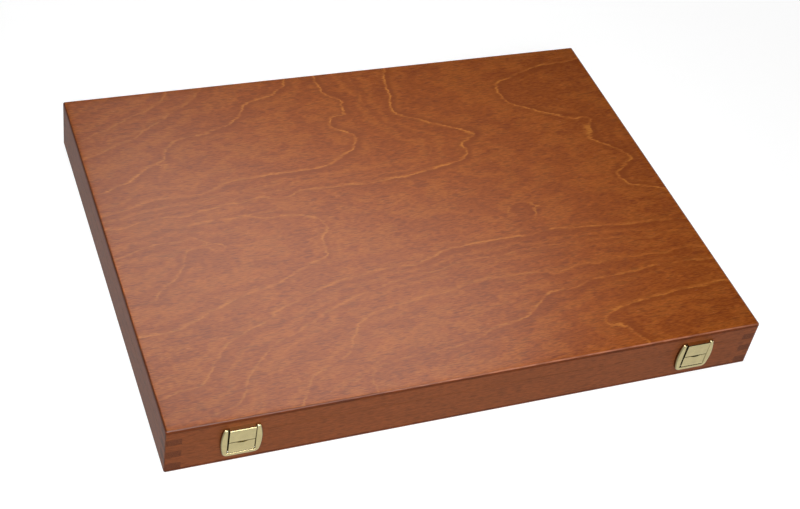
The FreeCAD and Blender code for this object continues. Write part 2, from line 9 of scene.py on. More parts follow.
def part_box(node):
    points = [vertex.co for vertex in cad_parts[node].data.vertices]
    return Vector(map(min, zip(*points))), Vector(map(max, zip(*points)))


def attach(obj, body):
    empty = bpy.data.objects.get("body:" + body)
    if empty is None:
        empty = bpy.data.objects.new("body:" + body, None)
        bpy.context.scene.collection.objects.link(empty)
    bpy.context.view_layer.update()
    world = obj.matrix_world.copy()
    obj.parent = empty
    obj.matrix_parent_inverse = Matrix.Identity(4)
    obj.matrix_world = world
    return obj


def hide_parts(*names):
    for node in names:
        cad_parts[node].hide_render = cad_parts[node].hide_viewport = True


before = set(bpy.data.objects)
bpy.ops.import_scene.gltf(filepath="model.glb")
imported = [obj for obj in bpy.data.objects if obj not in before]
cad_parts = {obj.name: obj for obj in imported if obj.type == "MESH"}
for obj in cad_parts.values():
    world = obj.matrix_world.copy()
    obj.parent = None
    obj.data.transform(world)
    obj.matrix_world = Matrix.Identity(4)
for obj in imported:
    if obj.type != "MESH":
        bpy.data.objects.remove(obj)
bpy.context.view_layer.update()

bl_info = {
    "name": "Pastel Storage Box",
    "version": (1, 0, 0),
    "blender": (4, 5, 0),
    "location": "View3D > Sidebar > Pastel Box",
    "description": "Dresses the jointed case of a wooden pastel box with veneer, stain, brass and foam",
    "category": "Add Mesh",
}

# The whole CAD box at rest, and sizes read from its nodes
LID_LOW, LID_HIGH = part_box("lid_top_panel")
BOTTOM_LOW, BOTTOM_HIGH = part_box("base_bottom_panel")

X, Y, Z = range(3)
MILLIMETRE = 0.001
TINY = 1e-12  # keeps a division by a length of zero finite
MERGE_STEPS_PER_METRE = 1e7  # points that round to the same step are one point
FACETS_TO_45 = 4  # facets of a rounding from the flat to 45 degrees
SHARP_ANGLE = math.radians(40)
PICTURE_WIDTH = 800  # pixels
SENSOR_WIDTH = 36.0  # millimetres

# Sizes of the patterns in the finishes, in metres: along the grain and across it, or along X, Y and Z
STROKES = (0.0075, 0.00060)
FINE_STROKES = (0.0045, 0.00045)
SOFT_STREAKS = (0.050, 0.0035)
CLOUDS = (0.045, 0.018)
PORES = (0.0075, 0.00085)
TEETH = (0.0060, 0.0010)
BAND_DRIFT = (0.030, 0.015)
LINE_GAPS = (0.016, 0.009)
ARRIS_HIGHLIGHT_PATCHES = (0.012, 0.004)
BOARD_LINES = (0.120, 0.0014)
SLAT_STREAKS = (0.050, 0.0009)
POLISHING_MARKS = (0.0080, 0.00012)
SCALLOPS = (0.0260, 0.0055, 0.0080)
PLY_LAYERS = (0.020, 0.020, 0.00050)
PLY_STROKES = (0.0050, 0.0050, 0.00040)
END_SPECKLE = (0.0009,) * 3
PLATING_CLOUDS = (0.006,) * 3
FOAM_CELLS = (0.0006,) * 3
FOAM_CLOUDS = (0.030,) * 3

BANDS_PER_YEAR = 1.4  # faint bands of the veneer for each count
ARRIS_HIGHLIGHT_STARTS = (-0.110, -0.030)  # metres along X in which the painted highlight of the front arris sets in

# The softboxes: name, property with the power, place, width and height, turn in its own plane, aim, and
# spread in degrees
SOFTBOXES = (
    ("overhead softbox", "overhead_light", (-0.24, -0.16, 1.25), (0.40, 0.40), 0.0, (-0.06, 0, 0), 42),
    ("front softbox", "front_light", (-0.20, -1.05, 0.85), (1.30, 0.50), 0.0, (0, 0, 0), 180),
    ("back softbox", "back_light", (0.257, 0.870, 1.200), (0.89, 0.55), -0.29, (0, 0, 0), 180),
)

# Where the ring edges of the lid's veneer run, in millimetres from the middle of the lid.
# Each has a count of years, which rises outwards from the noses, and how plainly the edge shows.
RING_EDGES = (
    (-1, 0.30, ((-240, 128), (-199, 147), (-187, 154), (-175, 159), (-160, 169), (-152, 182))),
    (0, 0.35, ((-240, 106), (-203, 122), (-192, 125), (-181, 134), (-169, 142), (-158, 150), (-149, 156),
               (-134, 167), (-120, 182))),
    (1, 0.66, ((-240, 64), (-220, 69), (-200, 79), (-190, 88), (-180, 92), (-172, 100), (-169, 108),
               (-161, 115), (-149, 120), (-135, 121), (-124, 125), (-114, 128), (-104, 135), (-95, 143),
               (-90, 152), (-79, 158), (-61, 163), (-52, 170), (-45, 182))),
    (2, 0.45, ((-240, 38), (-222, 41), (-211, 44), (-199, 47), (-170, 47), (-156, 48), (-148, 51),
               (-136, 56), (-124, 59), (-108, 60))),
    (2, 0.95, ((-93, 62), (-72, 61), (-56, 62), (-39, 65), (-29, 71), (-18, 77), (-11, 84), (-9, 91),
               (-7, 98), (-11, 102), (-20, 106), (-25, 113), (-23, 119), (-15, 126), (-6, 129), (-7, 137),
               (-4, 144), (-8, 149), (-16, 156), (-18, 182))),
    (3, 0.12, ((-124, 42), (-108, 45), (-98, 46), (-82, 48), (-61, 50), (-35, 48), (-8, 49), (18, 51),
               (40, 54), (52, 66), (46, 86), (20, 110), (14, 140), (12, 182))),
    (4, 0.48, ((-240, 23), (-214, 25), (-198, 27), (-187, 28), (-177, 26), (-161, 29), (-150, 31),
               (-137, 34), (-110, 36), (-72, 38), (-50, 38), (-30, 37), (-8, 36))),
    (4, 0.95, ((6, 38), (22, 38), (35, 41), (50, 44), (66, 47), (78, 52), (83, 62), (81, 68), (89, 74),
               (93, 77), (98, 83), (93, 85), (83, 91), (72, 97), (58, 105), (47, 113), (37, 121), (37, 129),
               (41, 141), (43, 160), (50, 182))),
    (3, 0.40, ((-240, -11), (-219, -4), (-200, 0), (-175, 2))),
    (3, 0.45, ((-155, -9), (-170, -10), (-181, -12), (-186, -20), (-189, -29), (-200, -42), (-212, -50),
               (-218, -60))),
    (4, 0.45, ((-175, 15), (-153, 17), (-124, 17), (-100, 13), (-82, 9), (-70, 4), (-66, -9), (-72, -16),
               (-74, -24), (-75, -34), (-76, -40), (-82, -43), (-95, -47), (-106, -53), (-116, -58),
               (-127, -62))),
    (4, 0.50, ((-145, -66), (-161, -72), (-179, -79), (-193, -86), (-206, -91), (-224, -93), (-240, -93))),
    (5, 0.82, ((238, 166), (219, 163), (200, 162), (185, 159), (174, 155), (164, 150), (150, 146),
               (143, 137), (143, 125), (145, 116), (158, 106), (172, 97), (185, 91), (200, 85), (211, 82),
               (210, 75), (203, 71), (206, 64), (200, 59), (203, 51), (214, 42), (222, 34), (227, 25),
               (219, 19), (208, 10), (202, 4), (206, -3), (208, -8), (222, -12), (238, -20))),
    (5, 0.70, ((95, -14), (103, -12), (111, -14), (118, -18), (111, -22))),
    (5, 0.38, ((-240, -155), (-220, -150), (-205, -147), (-187, -124), (-170, -109), (-161, -105),
               (-148, -100), (-135, -92), (-124, -86), (-108, -80), (-93, -74), (-77, -69), (-56, -66),
               (-35, -63))),
    (5, 0.62, ((-16, -63), (-3, -61), (10, -57), (19, -53), (37, -51), (56, -50), (74, -49), (95, -51),
               (106, -49), (119, -48), (137, -50), (153, -51), (169, -53), (185, -55), (219, -57),
               (240, -58))),
    (6, 0.32, ((-200, -175), (-179, -166), (-172, -150), (-161, -137), (-152, -129), (-143, -121),
               (-130, -116), (-116, -109), (-100, -101), (-85, -93), (-69, -87), (-50, -82), (-32, -78),
               (-8, -74), (19, -70), (43, -67), (79, -66), (100, -65), (122, -65), (148, -66), (174, -68),
               (216, -69), (240, -69))),
    (7, 0.34, ((-140, -182), (-136, -175), (-129, -164), (-121, -155), (-97, -145), (-87, -137),
               (-85, -129), (-78, -120), (-72, -112), (-61, -107), (-45, -103), (-29, -101), (0, -97),
               (30, -91), (69, -91), (100, -96), (137, -92), (174, -92), (200, -93), (240, -94))),
    (8, 0.28, ((-82, -182), (-80, -163), (-61, -156), (-40, -155), (-10, -153), (6, -150))),
    (8, 0.60, ((22, -143), (43, -139), (57, -135), (66, -129), (77, -120), (87, -114), (106, -114),
               (122, -110), (137, -108), (158, -107), (180, -105), (198, -104), (216, -105), (240, -107))),
    (9, 0.80, ((240, -133), (222, -133), (206, -134), (185, -135), (164, -137), (145, -140), (130, -143),
               (120, -147), (116, -153), (124, -158), (133, -164), (137, -174), (141, -183))),
)

# Hills and hollows of the count between the edges: the count, and its place in millimetres
RING_CENTRES = (
    (5.5, (101, -17)), (5.6, (232, 120)), (5.5, (235, 60)), (9.6, (200, -165)), (2.6, (-230, -40)),
    (4.4, (-120, 25)), (4.4, (-200, 20)),
)


class BoxWoodSettings(bpy.types.PropertyGroup):
    """Stain, varnish and sizes of the wooden pieces"""
    stain: FloatVectorProperty(
        name="Stain", description="Colour of the stained wood between the ring edges",
        subtype="COLOR", size=3, min=0, max=1, default=(0.340, 0.085, 0.0110))
    dark_stain: FloatVectorProperty(
        name="Dark Stain", description="Colour of the stain where the wood takes more of it",
        subtype="COLOR", size=3, min=0, max=1, default=(0.195, 0.040, 0.0050))
    board_stain: FloatVectorProperty(
        name="Board Stain", description="Colour of the stained boards under the panels",
        subtype="COLOR", size=3, min=0, max=1, default=(0.262, 0.072, 0.0200))
    ring_gold: FloatVectorProperty(
        name="Ring Edge", description="Colour of the pale line along each ring edge",
        subtype="COLOR", size=3, min=0, max=1, default=(0.560, 0.200, 0.0280))
    pore: FloatVectorProperty(
        name="Pores", description="Colour of the stain that stands in the pores",
        subtype="COLOR", size=3, min=0, max=1, default=(0.090, 0.020, 0.0060))
    # Painted highlight: this pale colour paints the lamps' gleam along the front arris of the lid.
    painted_arris_highlight: FloatVectorProperty(
        name="Rubbed Edge", description="Colour of the arris where hands have rubbed the stain",
        subtype="COLOR", size=3, min=0, max=1, default=(0.410, 0.165, 0.0900))
    slat: FloatVectorProperty(
        name="Slats", description="Colour of the unstained slats inside",
        subtype="COLOR", size=3, min=0, max=1, default=(0.50, 0.33, 0.17))
    varnish_roughness: FloatProperty(
        name="Varnish Roughness", description="How matt the satin varnish is",
        subtype="FACTOR", min=0, max=1, default=0.26)
    board_roughness: FloatProperty(
        name="Board Roughness", description="How matt the varnish on the boards is",
        subtype="FACTOR", min=0, max=1, default=0.52)
    arris_radius: FloatProperty(
        name="Arris Radius", description="Rounding of the case's outer edges",
        subtype="DISTANCE", unit="LENGTH", min=0.0002, max=0.003, default=0.0015)
    grid_step: FloatProperty(
        name="Veneer Grid", description="Distance between the points that carry the ring pattern",
        subtype="DISTANCE", unit="LENGTH", min=0.001, max=0.02, default=0.004)


class BoxMetalSettings(bpy.types.PropertyGroup):
    """Plating and steel of the catches and hinges"""
    brass: FloatVectorProperty(
        name="Brass Plating", description="Colour of the pale brass plating",
        subtype="COLOR", size=3, min=0, max=1, default=(0.45, 0.385, 0.195))
    brass_roughness: FloatProperty(
        name="Brass Roughness", description="How dull the plating is",
        subtype="FACTOR", min=0, max=1, default=0.19)
    steel: FloatVectorProperty(
        name="Spring Steel", description="Colour of the pins and springs",
        subtype="COLOR", size=3, min=0, max=1, default=(0.56, 0.55, 0.53))


class BoxFoamSettings(bpy.types.PropertyGroup):
    """Foam, and the grooves that are cut in it"""
    foam: FloatVectorProperty(
        name="Foam", description="Colour of the foam inserts and the lid pad",
        subtype="COLOR", size=3, min=0, max=1, default=(0.022, 0.022, 0.024))
    stick_radius: FloatProperty(
        name="Stick Radius", description="Radius of the pastel sticks that the grooves are cut for",
        subtype="DISTANCE", unit="LENGTH", min=0.002, max=0.01, default=0.005)
    stick_slack: FloatProperty(
        name="Groove Slack", description="How much larger a groove's radius is than a stick's",
        subtype="DISTANCE", unit="LENGTH", min=0, max=0.001, default=0.0002)
    stick_gap: FloatProperty(
        name="Stick Gap", description="Space between two sticks that lie side by side",
        subtype="DISTANCE", unit="LENGTH", min=0, max=0.005, default=0.0006)
    groove_depth: FloatProperty(
        name="Groove Depth", description="Depth of each groove below the foam's top",
        subtype="DISTANCE", unit="LENGTH", min=0.0002, max=0.004, default=0.0016)
    groove_samples: IntProperty(
        name="Groove Samples", description="Points across one groove", min=6, max=24, default=12)
    edge_radius: FloatProperty(
        name="Foam Edge", description="Rounding of the foam's cut edges",
        subtype="DISTANCE", unit="LENGTH", min=0.0002, max=0.003, default=0.0010)


class BoxStageSettings(bpy.types.PropertyGroup):
    """Camera and lights"""
    camera_place: FloatVectorProperty(
        name="Camera Place", description="Where the camera stands",
        subtype="TRANSLATION", unit="LENGTH", size=3, default=(-0.4243, -0.8334, 0.8784))
    camera_azimuth: FloatProperty(
        name="Camera Azimuth", description="The way the camera looks, clockwise from straight back",
        subtype="ANGLE", default=math.radians(27.37))
    camera_elevation: FloatProperty(
        name="Camera Elevation", description="How far down the camera looks",
        subtype="ANGLE", default=math.radians(43.36))
    camera_roll: FloatProperty(
        name="Camera Roll", description="How far the camera is tilted about its own axis",
        subtype="ANGLE", default=math.radians(10.95))
    focal_pixels: FloatProperty(
        name="Focal Length", description="Focal length in pixels of a picture 800 pixels wide",
        min=100, default=1529.0)
    overhead_light: FloatProperty(
        name="Overhead Light", description="Power of the gridded softbox above the box",
        subtype="POWER", unit="POWER", min=0, default=0.77)
    front_light: FloatProperty(
        name="Front Light", description="Power of the softbox in front and to the left",
        subtype="POWER", unit="POWER", min=0, default=15.0)
    back_light: FloatProperty(
        name="Back Light", description="Power of the softbox behind, whose gleam lies on the lid",
        subtype="POWER", unit="POWER", min=0, default=4.2)
    room_light: FloatProperty(
        name="Room Light", description="Brightness of the room around the stage", min=0, default=0.02)


def put_mesh(name, points, faces):
    """A mesh object from whole arrays of points and of four-cornered faces."""
    mesh = bpy.data.meshes.new(name)
    mesh.vertices.add(len(points))
    mesh.vertices.foreach_set("co", np.asarray(points, np.float32).ravel())
    mesh.loops.add(faces.size)
    mesh.loops.foreach_set("vertex_index", faces.astype(np.int32).ravel())
    mesh.polygons.add(len(faces))
    mesh.polygons.foreach_set("loop_start", np.arange(0, faces.size, 4, dtype=np.int32))
    mesh.polygons.foreach_set("use_smooth", np.ones(len(faces), bool))
    mesh.update(calc_edges=True)
    mesh.validate()
    mesh.set_sharp_from_angle(angle=SHARP_ANGLE)
    piece = bpy.data.objects.new(name, mesh)
    bpy.context.scene.collection.objects.link(piece)
    return piece


def steps_between(low, high, round_low, round_high, step):
    """Positions from low to high: even steps on the flat, and at each rounded end positions at a
    distance r (1 - tan a) from it, with a in even steps to 45 degrees, so that the rounding's facets
    have equal angles."""
    turn = 1 - np.tan(np.linspace(0, math.pi / 4, FACETS_TO_45 + 1))
    count = max(2, int(round((high - low - round_low - round_high) / step)) + 1)
    flat = np.linspace(low + round_low, high - round_high, count)
    start = low + round_low * turn[:0:-1] if round_low else flat[:0]
    end = high - round_high * turn[1:] if round_high else flat[:0]
    return np.concatenate([start, flat, end])


def rounded_slab(low, high, radius, round_bottom, round_top, step):
    """The closed surface of a slab with rounded edges. Each point p of a grid over the six faces is
    clamped to the slab shrunk by the radius, which gives c, and d = p - c is drawn in to
    c + d max|d| / |d|, so that squares become quarter rounds. Equal points are merged."""
    low = np.array(low)
    high = np.array(high)
    shrink_low = np.array([radius, radius, radius if round_bottom else 0.0])
    shrink_high = np.array([radius, radius, radius if round_top else 0.0])
    lines = [steps_between(low[k], high[k], shrink_low[k], shrink_high[k], step[k]) for k in range(3)]
    points = []
    faces = []
    offset = 0
    for normal in range(3):
        u, v = (normal + 1) % 3, (normal + 2) % 3
        for side in (0, 1):
            grid_u, grid_v = np.meshgrid(lines[u], lines[v], indexing="ij")
            patch = np.empty(grid_u.shape + (3,))
            patch[..., u] = grid_u
            patch[..., v] = grid_v
            patch[..., normal] = high[normal] if side else low[normal]
            index = offset + np.arange(grid_u.size).reshape(grid_u.shape)
            corners = [index[:-1, :-1], index[1:, :-1], index[1:, 1:], index[:-1, 1:]]
            if not side:
                corners.reverse()
            faces.append(np.stack(corners, -1).reshape(-1, 4))
            points.append(patch.reshape(-1, 3))
            offset += grid_u.size
    points = np.concatenate(points)
    centre = np.clip(points, low + shrink_low, high - shrink_high)
    away = points - centre
    length = np.linalg.norm(away, axis=1, keepdims=True)
    largest = np.abs(away).max(axis=1, keepdims=True)
    points = centre + away * largest / np.maximum(length, TINY)
    keys = np.round(points * MERGE_STEPS_PER_METRE).astype(np.int64)
    _, first, place = np.unique(keys, axis=0, return_index=True, return_inverse=True)
    return points[first], place.reshape(-1)[np.concatenate(faces)]


def ring_growth(x, y):
    """The count of years at each place of the veneer: the thin-plate surface, the sum of
    w r^2 log r over the marked points plus a plane, that takes each ring edge's number along it. Its
    looseness lets it pass a little beside a mark, which keeps it smooth."""
    looseness = 2.0
    least = 1e-9
    marks = np.array([point for _, _, line in RING_EDGES for point in line]
                     + [point for _, point in RING_CENTRES], float)
    years = np.array([year for year, _, line in RING_EDGES for _ in line]
                     + [year for year, _ in RING_CENTRES], float)

    def kernel(distance_squared):
        return 0.5 * distance_squared * np.log(distance_squared + least)

    count = len(marks)
    between = ((marks[:, None] - marks[None]) ** 2).sum(-1)
    plane = np.column_stack([np.ones(count), marks])
    system = np.zeros((count + 3, count + 3))
    system[:count, :count] = kernel(between) + np.eye(count) * looseness
    system[:count, count:] = plane
    system[count:, :count] = plane.T
    weights = np.linalg.solve(system, np.concatenate([years, np.zeros(3)]))
    places = np.column_stack([x, y])
    apart = ((places[:, None] - marks[None]) ** 2).sum(-1)
    return kernel(apart) @ weights[:count] + weights[count] + places @ weights[count + 1:]


def ring_show(x, y):
    """How plainly a ring edge shows at each place: the nearest marked edge's number, less and less from
    4 to 11 mm away from it, by s^2 (3 - 2 s). The distance to a line's piece from p with run q is
    |d - q clip(d.q / q.q)|, where d leads from p to the place."""
    whole, gone = 4, 11
    starts = np.array([point for _, _, line in RING_EDGES for point in line[:-1]], float)
    runs = np.array([point for _, _, line in RING_EDGES for point in line[1:]], float) - starts
    shows = np.array([show for _, show, line in RING_EDGES for _ in line[1:]])
    away = np.column_stack([x, y])[:, None] - starts[None]
    share = np.clip((away * runs).sum(-1) / (runs ** 2).sum(-1), 0, 1)
    distance = np.linalg.norm(away - runs * share[..., None], axis=-1)
    nearest = distance.argmin(axis=1)
    fade = np.clip((gone - distance.min(axis=1)) / (gone - whole), 0, 1)
    return shows[nearest] * fade * fade * (3 - 2 * fade)


def mark_rings(piece, x, y):
    """Store three numbers in each point of a veneer: the count of years, its slope in years per metre
    (central differences half a millimetre apart), and how plainly an edge shows. x and y are in
    millimetres."""
    aside = 0.25
    slope_x = ring_growth(x + aside, y) - ring_growth(x - aside, y)
    slope_y = ring_growth(x, y + aside) - ring_growth(x, y - aside)
    slope = np.hypot(slope_x, slope_y) / (2 * aside * MILLIMETRE)
    for name, values in (("growth", ring_growth(x, y)), ("slope", slope), ("show", ring_show(x, y))):
        attribute = piece.data.attributes.new(name, "FLOAT", "POINT")
        attribute.data.foreach_set("value", values.astype(np.float32))


class Finish:
    """One material and its nodes. A value that is a socket is linked, any other is set."""

    def __init__(self, name):
        self.material = bpy.data.materials.new(name)
        self.material.use_nodes = True
        self.tree = self.material.node_tree
        self.shader = self.tree.nodes["Principled BSDF"]
        self.place = self.add("ShaderNodeTexCoord", {})

    def add(self, kind, values, **settings):
        node = self.tree.nodes.new(kind)
        for name, setting in settings.items():
            setattr(node, name, setting)
        for key, value in values.items():
            self.feed(node.inputs[key], value)
        return node

    def feed(self, socket, value):
        if isinstance(value, bpy.types.NodeSocket):
            self.tree.links.new(value, socket)
        else:
            socket.default_value = value

    def shade(self, values):
        """Link or set inputs of the shader."""
        for name, value in values.items():
            self.feed(self.shader.inputs[name], value)

    def math(self, operation, *values):
        return self.add("ShaderNodeMath", dict(enumerate(values)), operation=operation).outputs[0]

    def product(self, value, *others):
        for other in others:
            value = self.math("MULTIPLY", value, other)
        return value

    def weighted(self, first, *others):
        """The sum of values, each given with what it is multiplied by."""
        total = self.math("MULTIPLY", *first)
        for value, weight in others:
            total = self.math("MULTIPLY_ADD", value, weight, total)
        return total

    def ease(self, value, start, end, low=0.0, high=1.0):
        """Low up to start, high from end, and a smooth change between them."""
        span = {"Value": value, "From Min": start, "From Max": end, "To Min": low, "To Max": high}
        return self.add("ShaderNodeMapRange", span, interpolation_type="SMOOTHSTEP").outputs[0]

    def within(self, value, start, full, fading, end):
        """One from full to fading, zero up to start and from end, and smooth changes between them."""
        return self.product(self.ease(value, start, full), self.ease(value, fading, end, 1.0, 0.0))

    def stretched(self, sizes):
        """The object's coordinates, counted in the given sizes, in metres, along X, Y and Z."""
        scale = tuple(1 / size for size in sizes)
        return self.add("ShaderNodeVectorMath", {0: self.place.outputs["Object"], 1: scale},
                        operation="MULTIPLY").outputs[0]

    def noise(self, sizes, detail=2.0, roughness=0.5, shift=0.0):
        """Noise whose features measure the given sizes, in metres, along X, Y and Z. Another shift gives
        another pattern."""
        moved = self.add("ShaderNodeVectorMath", {0: self.stretched(sizes), 1: (shift, shift, shift)},
                         operation="ADD")
        texture = self.add("ShaderNodeTexNoise", {"Vector": moved.outputs[0], "Scale": 1.0,
                                                  "Detail": detail, "Roughness": roughness})
        return texture.outputs["Fac"]

    def blend(self, factor, first, second):
        """A colour between two, each a colour or a socket."""
        values = {0: factor}
        for key, colour in ((6, first), (7, second)):
            values[key] = colour if isinstance(colour, bpy.types.NodeSocket) else (*colour, 1.0)
        return self.add("ShaderNodeMix", values, data_type="RGBA").outputs[2]

    def bump(self, height, depth, strength=1.0):
        """Tilt the surface's normal as marks of the given depth, in metres, would."""
        values = {"Height": height, "Distance": depth, "Strength": strength}
        self.shade({"Normal": self.add("ShaderNodeBump", values).outputs[0]})

    def gloss(self, roughness, marks, spread):
        """A roughness that the marks lower and raise by up to half the spread."""
        self.shade({"Roughness": self.math("MULTIPLY_ADD", marks, spread, roughness - spread / 2)})

    def attribute(self, name):
        """A number that the piece's points carry."""
        return self.add("ShaderNodeAttribute", {}, attribute_name=name).outputs["Fac"]

    def part(self, output, axis):
        """One part of the object's coordinates, in metres, or of the surface's direction."""
        return self.add("ShaderNodeSeparateXYZ", {0: self.place.outputs[output]}).outputs[axis]

    def facing(self, axis):
        """How squarely the surface faces along one of the object's axes, from 0 to 1."""
        return self.math("ABSOLUTE", self.part("Normal", axis))


def along(axis, length, across):
    """Sizes of a streak that runs along one axis."""
    return tuple(length if axis == number else across for number in range(3))


def shaded(colour, share):
    """A colour made darker or paler by a share."""
    return tuple(channel * share for channel in colour)


def stained_wood(finish, axis, shift, pale, dark, pore):
    """Stained wood with its grain along one axis: a cloudy take-up of the stain, soft streaks, fine short
    strokes and dark pores. Returns its colour and the strokes."""
    strokes = finish.noise(along(axis, *STROKES), detail=3.0, roughness=0.6, shift=shift)
    fine = finish.noise(along(axis, *FINE_STROKES), detail=1.0, shift=shift + 15)
    soft = finish.noise(along(axis, *SOFT_STREAKS), detail=2.0, roughness=0.6, shift=shift + 9)
    cloud = finish.noise(along(axis, *CLOUDS), detail=2.0, shift=shift + 7)
    pores = finish.noise(along(axis, *PORES), detail=0.0, shift=shift + 3)
    take_up = finish.weighted((soft, 0.09), (strokes, 0.30), (cloud, 0.08), (fine, 0.50))
    colour = finish.blend(finish.ease(take_up, 0.37, 0.59), dark, pale)
    colour = finish.blend(finish.ease(pores, 0.60, 0.68, high=0.42), colour, pore)
    return colour, strokes


def ring_distance(finish, count, teeth):
    """A point's distance from its ring edge, in millimetres: how far the count is from a whole number,
    over the slope, plus a scallop that is long along the grain, and the teeth. A least slope keeps flat
    parts of the count free of wide lines."""
    least_slope = 6.0
    scallop_depth = 6.0
    teeth_depth = 3.5
    slope = finish.math("MAXIMUM", finish.attribute("slope"), least_slope)
    phase = finish.math("SUBTRACT", finish.math("FRACT", finish.math("ADD", count, 0.5)), 0.5)
    distance = finish.product(finish.math("DIVIDE", phase, slope), 1 / MILLIMETRE)
    scallop = finish.noise(SCALLOPS, detail=3.0, roughness=0.65, shift=11)
    ragged = finish.weighted((finish.math("SUBTRACT", scallop, 0.5), scallop_depth),
                             (finish.math("SUBTRACT", teeth, 0.5), teeth_depth))
    return finish.math("ADD", distance, ragged)


def ring_veneer(wood):
    """Rotary-cut veneer under satin varnish. At each ring edge runs a thin pale line, broken in places,
    and the wood beside it is a little darker. Faint bands follow the count of years between the edges.
    The arrises are painted dark as painted shade, and the front one is painted pale as a painted highlight,
    but not at its left end."""
    finish = Finish("ring veneer")
    colour, strokes = stained_wood(finish, X, 0.0, wood.stain, wood.dark_stain, wood.pore)
    count = finish.attribute("growth")
    show = finish.attribute("show")
    teeth = finish.noise(along(X, *TEETH), detail=2.0, roughness=0.6, shift=5)
    distance = ring_distance(finish, count, teeth)

    drift = finish.noise(along(X, *BAND_DRIFT), detail=2.0, shift=17)
    turns = finish.weighted((count, BANDS_PER_YEAR), (drift, 2.0))
    bands = finish.math("SINE", finish.product(turns, math.tau))
    colour = finish.blend(finish.ease(bands, -0.3, 1.0, high=0.22), colour, wood.dark_stain)
    colour = finish.blend(finish.ease(bands, 0.2, -1.0, high=0.07), colour, wood.ring_gold)

    before = finish.within(distance, -8.0, -3.0, -3.0, -1.5)
    beyond = finish.within(distance, 0.3, 1.6, 2.0, 9.0)
    beside = finish.weighted((before, 0.40), (beyond, 0.75))
    colour = finish.blend(finish.product(beside, show), colour, wood.dark_stain)

    gaps = finish.noise(along(X, *LINE_GAPS), detail=3.0, shift=2)
    line = finish.product(finish.within(distance, -1.9, -0.1, 0.0, 0.8), show,
                          finish.ease(gaps, 0.38, 0.60, 0.22, 1.0),
                          finish.ease(teeth, 0.30, 0.60, 0.52, 0.88))
    colour = finish.blend(line, colour, wood.ring_gold)

    # Painted shade: where the surface turns away from level, the rounded arrises are painted with the dark
    # pore colour.
    arris = finish.ease(finish.facing(Z), 0.995, 0.92, high=0.95)
    colour = finish.blend(arris, colour, wood.pore)
    # Painted highlight: the front arris is painted pale in patches, fading out towards its left end, in
    # place of the lamps' gleam on it.
    front_arris = finish.ease(finish.part("Normal", Y), -0.12, -0.45)
    patches = finish.noise(along(X, *ARRIS_HIGHLIGHT_PATCHES), detail=2.0, shift=61)
    painted_arris_highlight = finish.product(front_arris, finish.ease(patches, 0.35, 0.60, 0.50, 0.95),
                            finish.ease(finish.part("Object", X), *ARRIS_HIGHLIGHT_STARTS, 0.10, 1.0))
    colour = finish.blend(painted_arris_highlight, colour, wood.painted_arris_highlight)
    finish.shade({"Base Color": colour})
    finish.gloss(wood.varnish_roughness, strokes, 0.06)
    finish.bump(strokes, 0.00001, 0.3)
    return finish.material


def ply_edge(wood):
    """The cut edge of a panel, darkened by the stain: its layers lie flat, some darker than others."""
    finish = Finish("ply edge")
    layers = finish.noise(PLY_LAYERS, detail=1.0, shift=1)
    strokes = finish.noise(PLY_STROKES, detail=1.0, shift=3)
    mixed = finish.weighted((strokes, 0.4), (layers, 0.6))
    colour = finish.blend(finish.ease(mixed, 0.40, 0.62), wood.pore, wood.dark_stain)
    finish.shade({"Base Color": colour, "Roughness": 0.55, "Specular IOR Level": 0.10})
    finish.bump(layers, 0.00006, 0.5)
    return finish.material


def board_wood(wood, name, axis):
    """A stained board whose grain runs along one axis. Faces square to the grain show end grain: darker,
    speckled and without streaks."""
    finish = Finish(name)
    dark = shaded(wood.board_stain, 0.68)
    colour, strokes = stained_wood(finish, axis, 20.0 + axis, wood.board_stain, dark, wood.pore)
    lines = finish.noise(along(axis, *BOARD_LINES), detail=1.0, shift=33 + axis)
    colour = finish.blend(finish.ease(lines, 0.60, 0.72, high=0.35), colour, wood.pore)
    speckle = finish.noise(END_SPECKLE, detail=2.0, shift=4)
    end_grain = finish.blend(finish.ease(speckle, 0.25, 0.65), wood.pore, shaded(dark, 0.85))
    is_end = finish.ease(finish.facing(axis), 0.6, 0.8)
    finish.shade({"Base Color": finish.blend(is_end, colour, end_grain), "Specular IOR Level": 0.13})
    finish.gloss(wood.board_roughness, strokes, 0.10)
    finish.bump(strokes, 0.00004, 0.5)
    return finish.material


def slat_wood(wood):
    """Planed, unstained wood with fine streaks along X."""
    finish = Finish("planed slat")
    streaks = finish.noise(along(X, *SLAT_STREAKS), detail=3.0, roughness=0.6, shift=31)
    colour = finish.blend(finish.ease(streaks, 0.35, 0.65), shaded(wood.slat, 0.72), wood.slat)
    finish.shade({"Base Color": colour, "Roughness": 0.6})
    finish.bump(streaks, 0.00005, 0.5)
    return finish.material


def plated_metal(name, tint, roughness):
    """Plated metal: a faint cloudiness of colour and gloss, and fine polishing marks along X. A painted
    highlight makes the colour brighter on what turns up, and painted shade makes it darker on what turns to
    the sides or down."""
    finish = Finish(name)
    marks = finish.noise(along(X, *POLISHING_MARKS), detail=2.0, shift=41)
    cloud = finish.noise(PLATING_CLOUDS, detail=2.0, shift=43)
    colour = finish.blend(finish.ease(cloud, 0.35, 0.65), shaded(tint, 0.93), tint)
    upward = finish.part("Normal", Z)
    # Painted shade: what turns to the sides or down is painted at less than half the plating's colour.
    turned = finish.math("MAXIMUM", finish.ease(finish.facing(X), 0.18, 0.65, high=0.9),
                         finish.ease(upward, -0.15, -0.60))
    colour = finish.blend(turned, colour, shaded(tint, 0.45))
    # Painted highlight: what turns up is painted brighter than the plating.
    painted_highlight_tint = tuple(min(1.0, channel * 1.5 + 0.06) for channel in tint)
    colour = finish.blend(finish.ease(upward, 0.12, 0.50), colour, painted_highlight_tint)
    finish.shade({"Base Color": colour, "Metallic": 1.0})
    finish.gloss(roughness, marks, 0.12)
    finish.bump(marks, 0.000003, 0.3)
    return finish.material


